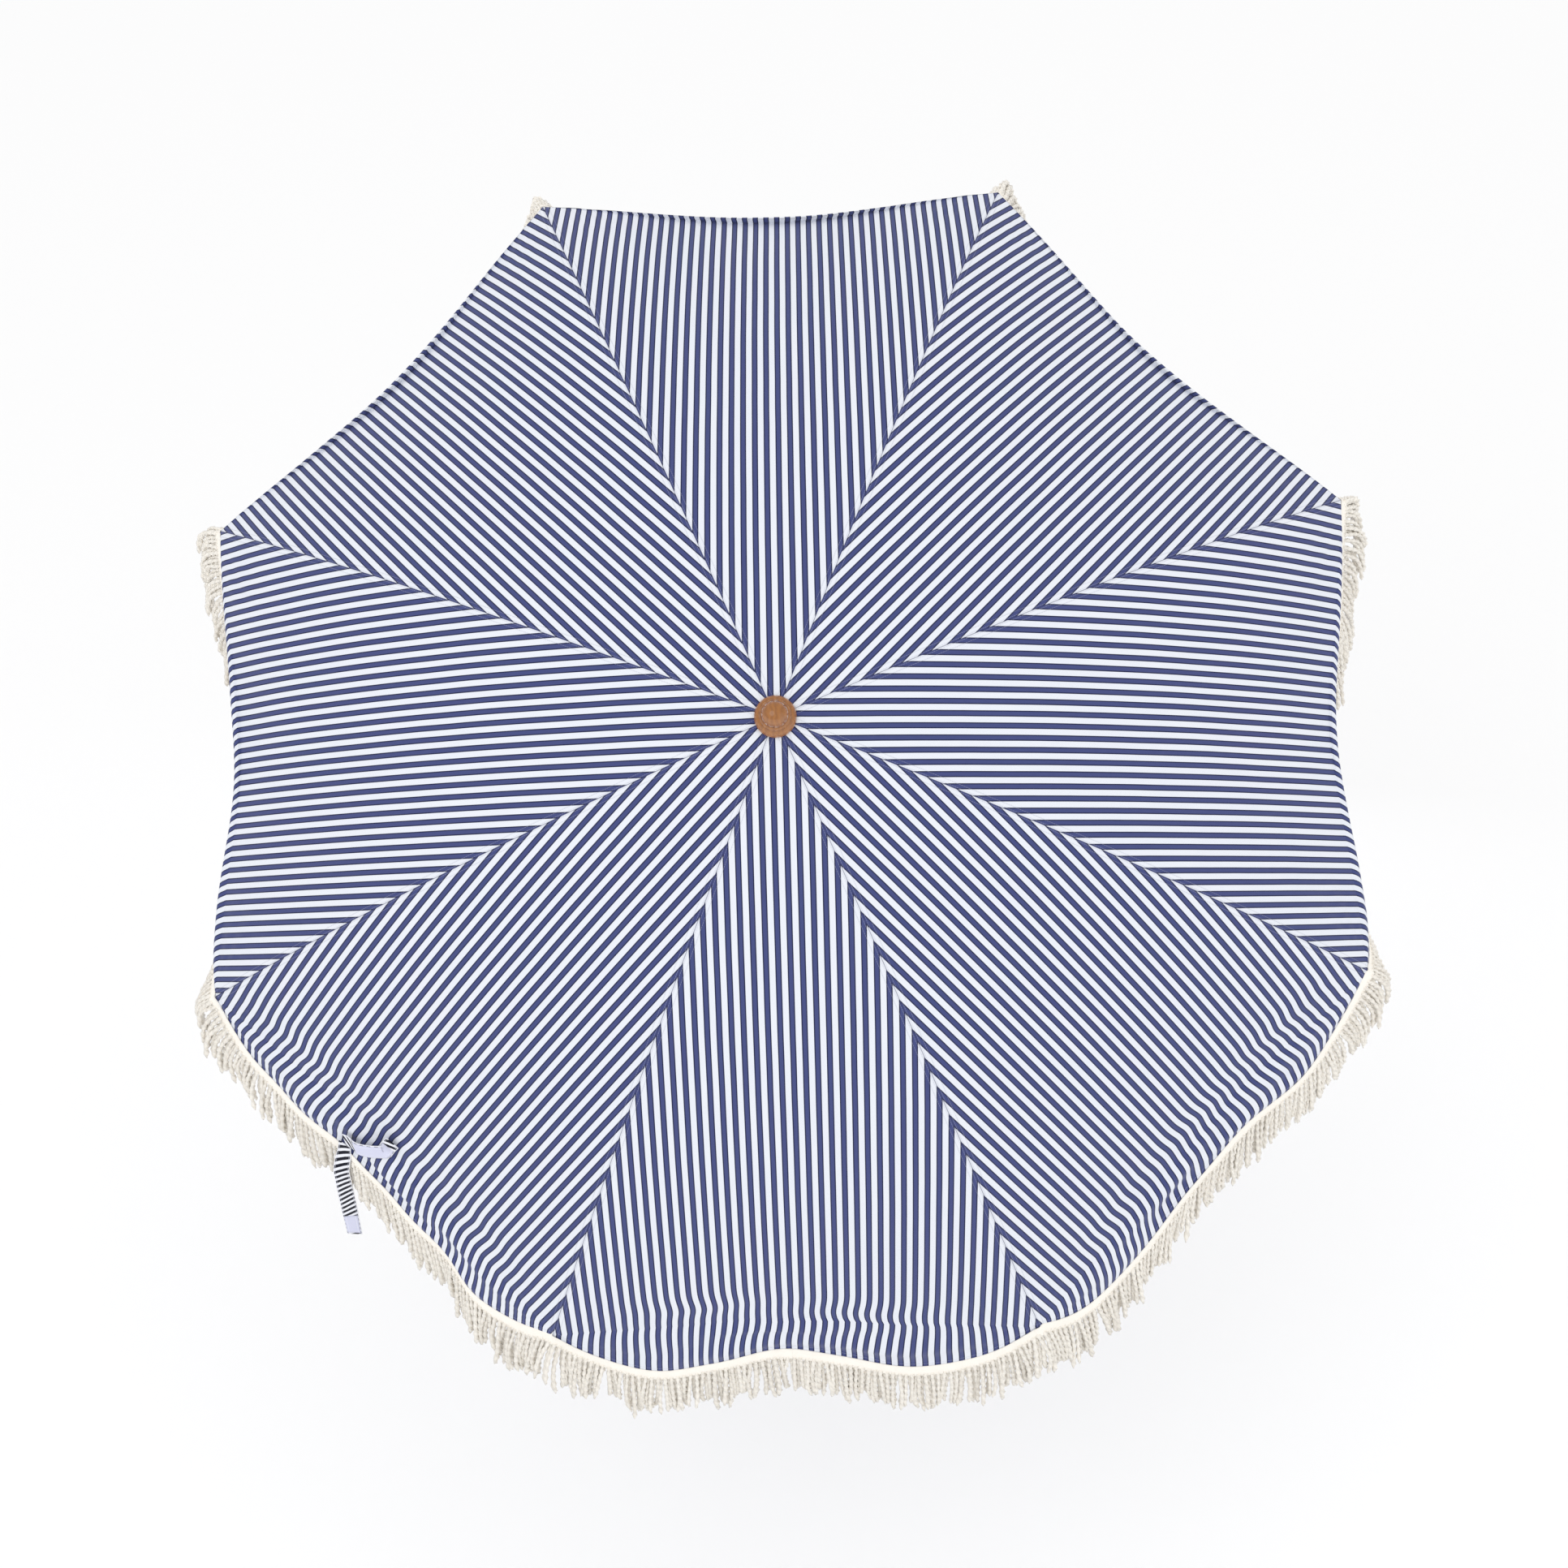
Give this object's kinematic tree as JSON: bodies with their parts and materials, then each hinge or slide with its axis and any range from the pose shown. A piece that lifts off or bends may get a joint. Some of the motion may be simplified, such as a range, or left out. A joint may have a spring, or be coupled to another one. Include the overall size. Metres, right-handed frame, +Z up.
{
  "type": "beach umbrella",
  "caption": "Folding beach umbrella with a striped panelled canopy, fringed hem, rib-and-runner frame, tilting knuckle and height-adjusting pole with a ground spike.",
  "frame": {"origin": "on the lower pole's axis, at its foot, where the ground spike begins", "axes": "+Z up along the lower pole; the upper pole and canopy lean towards -Y at rest; +X to the right when looking along +Y"},
  "size_m": [1.7486, 1.2376, 2.2296],
  "materials": {
    "canvas": "striped blue and white woven canvas",
    "cotton_fringe": "loose cream cotton yarn",
    "strap_cloth": "striped canvas tape with hook-and-loop ends",
    "finial_wood": "varnished",
    "hub_wood": "varnished",
    "pole_wood": "varnished",
    "white_metal": "white enamel",
    "white_plastic": "moulded",
    "steel": "brushed",
    "pin_steel": "zinc plated",
    "black_plastic": "moulded",
    "black_metal": "black enamel"
  },
  "bodies": {
    "lower_pole": {"ground_spike": "black_metal", "lower_pole": "pole_wood", "ferrule": "steel"},
    "ferrule_screw": {"ferrule_screw": "black_plastic"},
    "mid_pole": {"mid_pole": "pole_wood", "knuckle_base": "steel", "knuckle_bolt": "pin_steel", "tilt_spring": "pin_steel"},
    "tilt_button": {"tilt_button": "black_plastic"},
    "mast": {"knuckle_head": "steel", "upper_pole": "pole_wood", "top_hub": "hub_wood", "hub_pins": "pin_steel", "canopy_crown": "canvas", "finial_stud": "pin_steel", "finial": "finial_wood"},
    "runner": {"runner": "hub_wood", "runner_pins": "pin_steel"},
    "runner_screw": {"runner_screw": "black_plastic"},
    "rib_1": {"rib_1": "white_metal", "rib_fittings_1": "white_plastic", "canopy_1": "canvas", "fringe_1": "cotton_fringe"},
    "strut_1": {"strut_1": "white_metal"},
    "rib_2": {"rib_2": "white_metal", "rib_fittings_2": "white_plastic", "canopy_2": "canvas", "fringe_2": "cotton_fringe"},
    "strut_2": {"strut_2": "white_metal"},
    "rib_3": {"rib_3": "white_metal", "rib_fittings_3": "white_plastic", "canopy_3": "canvas", "fringe_3": "cotton_fringe"},
    "strut_3": {"strut_3": "white_metal"},
    "rib_4": {"rib_4": "white_metal", "rib_fittings_4": "white_plastic", "canopy_4": "canvas", "fringe_4": "cotton_fringe"},
    "strut_4": {"strut_4": "white_metal"},
    "rib_5": {"rib_5": "white_metal", "rib_fittings_5": "white_plastic", "canopy_5": "canvas", "fringe_5": "cotton_fringe", "tie_strap": "strap_cloth"},
    "strut_5": {"strut_5": "white_metal"},
    "rib_6": {"rib_6": "white_metal", "rib_fittings_6": "white_plastic", "canopy_6": "canvas", "fringe_6": "cotton_fringe"},
    "strut_6": {"strut_6": "white_metal"},
    "rib_7": {"rib_7": "white_metal", "rib_fittings_7": "white_plastic", "canopy_7": "canvas", "fringe_7": "cotton_fringe"},
    "strut_7": {"strut_7": "white_metal"},
    "rib_8": {"rib_8": "white_metal", "rib_fittings_8": "white_plastic", "canopy_8": "canvas", "fringe_8": "cotton_fringe"},
    "strut_8": {"strut_8": "white_metal"}
  },
  "joints": [
    {"name": "height_slide", "type": "slide", "parent": "lower_pole", "child": "mid_pole", "axis": [0, 0, 1], "range_m": [0, 0.06]},
    {"name": "height_screw_turn", "type": "hinge", "parent": "lower_pole", "child": "ferrule_screw", "pos_m": [0, 0, 0.835], "axis": [1, 0, 0], "range_deg": [0, 360]},
    {"name": "canopy_tilt", "type": "hinge", "parent": "mid_pole", "child": "mast", "pos_m": [0, 0, 1.01], "axis": [1, 0, 0], "range_deg": [-45, 0]},
    {"name": "tilt_button_press", "type": "slide", "parent": "mid_pole", "child": "tilt_button", "axis": [-1, 0, 0], "range_m": [0, 0.0035], "stiffness_N_per_m": 600, "springref_m": -0.003, "deforming": ["tilt_spring"]},
    {"name": "canopy_fold", "type": "hinge", "parent": "mast", "child": "rib_1", "pos_m": [0.02217, -0.75718, 1.78017], "axis": [-0.3827, 0.6533, 0.6533], "range_deg": [0, 65], "deforming": ["canopy_1", "canopy_2", "canopy_3", "canopy_4", "canopy_5", "canopy_6", "canopy_7", "canopy_8", "fringe_1", "fringe_2", "fringe_3", "fringe_4", "fringe_5", "fringe_6", "fringe_7", "fringe_8", "tie_strap"]},
    {"name": "strut_1_fold", "type": "hinge", "parent": "rib_1", "child": "strut_1", "pos_m": [0.42723, -0.56594, 1.8262], "axis": [-0.3827, 0.6533, 0.6533], "range_deg": [-130, 0]},
    {"name": "rib_2_fold", "type": "hinge", "parent": "mast", "child": "rib_2", "pos_m": [0.00918, -0.748, 1.78935], "axis": [-0.9239, 0.2706, 0.2706], "range_deg": [0, 65]},
    {"name": "strut_2_fold", "type": "hinge", "parent": "rib_2", "child": "strut_2", "pos_m": [0.17697, -0.38897, 2.00317], "axis": [-0.9239, 0.2706, 0.2706], "range_deg": [-130, 0]},
    {"name": "rib_3_fold", "type": "hinge", "parent": "mast", "child": "rib_3", "pos_m": [-0.00918, -0.748, 1.78935], "axis": [-0.9239, -0.2706, -0.2706], "range_deg": [0, 65]},
    {"name": "strut_3_fold", "type": "hinge", "parent": "rib_3", "child": "strut_3", "pos_m": [-0.17697, -0.38897, 2.00317], "axis": [-0.9239, -0.2706, -0.2706], "range_deg": [-130, 0]},
    {"name": "rib_4_fold", "type": "hinge", "parent": "mast", "child": "rib_4", "pos_m": [-0.02217, -0.75718, 1.78017], "axis": [-0.3827, -0.6533, -0.6533], "range_deg": [0, 65]},
    {"name": "strut_4_fold", "type": "hinge", "parent": "rib_4", "child": "strut_4", "pos_m": [-0.42723, -0.56594, 1.8262], "axis": [-0.3827, -0.6533, -0.6533], "range_deg": [-130, 0]},
    {"name": "rib_5_fold", "type": "hinge", "parent": "mast", "child": "rib_5", "pos_m": [-0.02217, -0.77017, 1.76718], "axis": [0.3827, -0.6533, -0.6533], "range_deg": [0, 65]},
    {"name": "strut_5_fold", "type": "hinge", "parent": "rib_5", "child": "strut_5", "pos_m": [-0.42723, -0.8162, 1.57594], "axis": [0.3827, -0.6533, -0.6533], "range_deg": [-130, 0]},
    {"name": "rib_6_fold", "type": "hinge", "parent": "mast", "child": "rib_6", "pos_m": [-0.00918, -0.77935, 1.758], "axis": [0.9239, -0.2706, -0.2706], "range_deg": [0, 65]},
    {"name": "strut_6_fold", "type": "hinge", "parent": "rib_6", "child": "strut_6", "pos_m": [-0.17697, -0.99317, 1.39897], "axis": [0.9239, -0.2706, -0.2706], "range_deg": [-130, 0]},
    {"name": "rib_7_fold", "type": "hinge", "parent": "mast", "child": "rib_7", "pos_m": [0.00918, -0.77935, 1.758], "axis": [0.9239, 0.2706, 0.2706], "range_deg": [0, 65]},
    {"name": "strut_7_fold", "type": "hinge", "parent": "rib_7", "child": "strut_7", "pos_m": [0.17697, -0.99317, 1.39897], "axis": [0.9239, 0.2706, 0.2706], "range_deg": [-130, 0]},
    {"name": "rib_8_fold", "type": "hinge", "parent": "mast", "child": "rib_8", "pos_m": [0.02217, -0.77017, 1.76718], "axis": [0.3827, 0.6533, 0.6533], "range_deg": [0, 65]},
    {"name": "strut_8_fold", "type": "hinge", "parent": "rib_8", "child": "strut_8", "pos_m": [0.42723, -0.8162, 1.57594], "axis": [0.3827, 0.6533, 0.6533], "range_deg": [-130, 0]},
    {"name": "runner_hinge", "type": "hinge", "parent": "strut_1", "child": "runner", "pos_m": [0.02217, -0.61197, 1.63496], "axis": [-0.3827, 0.6533, 0.6533], "range_deg": [0, 65]},
    {"name": "runner_screw_turn", "type": "hinge", "parent": "runner", "child": "runner_screw", "pos_m": [0, -0.59301, 1.60301], "axis": [0, -0.7071, -0.7071], "range_deg": [0, 360]}
  ],
  "couplings": [
    {"joint": "strut_1_fold", "follows": "canopy_fold", "ratio": -2},
    {"joint": "rib_2_fold", "follows": "canopy_fold", "ratio": 1},
    {"joint": "strut_2_fold", "follows": "canopy_fold", "ratio": -2},
    {"joint": "rib_3_fold", "follows": "canopy_fold", "ratio": 1},
    {"joint": "strut_3_fold", "follows": "canopy_fold", "ratio": -2},
    {"joint": "rib_4_fold", "follows": "canopy_fold", "ratio": 1},
    {"joint": "strut_4_fold", "follows": "canopy_fold", "ratio": -2},
    {"joint": "rib_5_fold", "follows": "canopy_fold", "ratio": 1},
    {"joint": "strut_5_fold", "follows": "canopy_fold", "ratio": -2},
    {"joint": "rib_6_fold", "follows": "canopy_fold", "ratio": 1},
    {"joint": "strut_6_fold", "follows": "canopy_fold", "ratio": -2},
    {"joint": "rib_7_fold", "follows": "canopy_fold", "ratio": 1},
    {"joint": "strut_7_fold", "follows": "canopy_fold", "ratio": -2},
    {"joint": "rib_8_fold", "follows": "canopy_fold", "ratio": 1},
    {"joint": "strut_8_fold", "follows": "canopy_fold", "ratio": -2},
    {"joint": "runner_hinge", "follows": "canopy_fold", "ratio": 1}
  ]
}
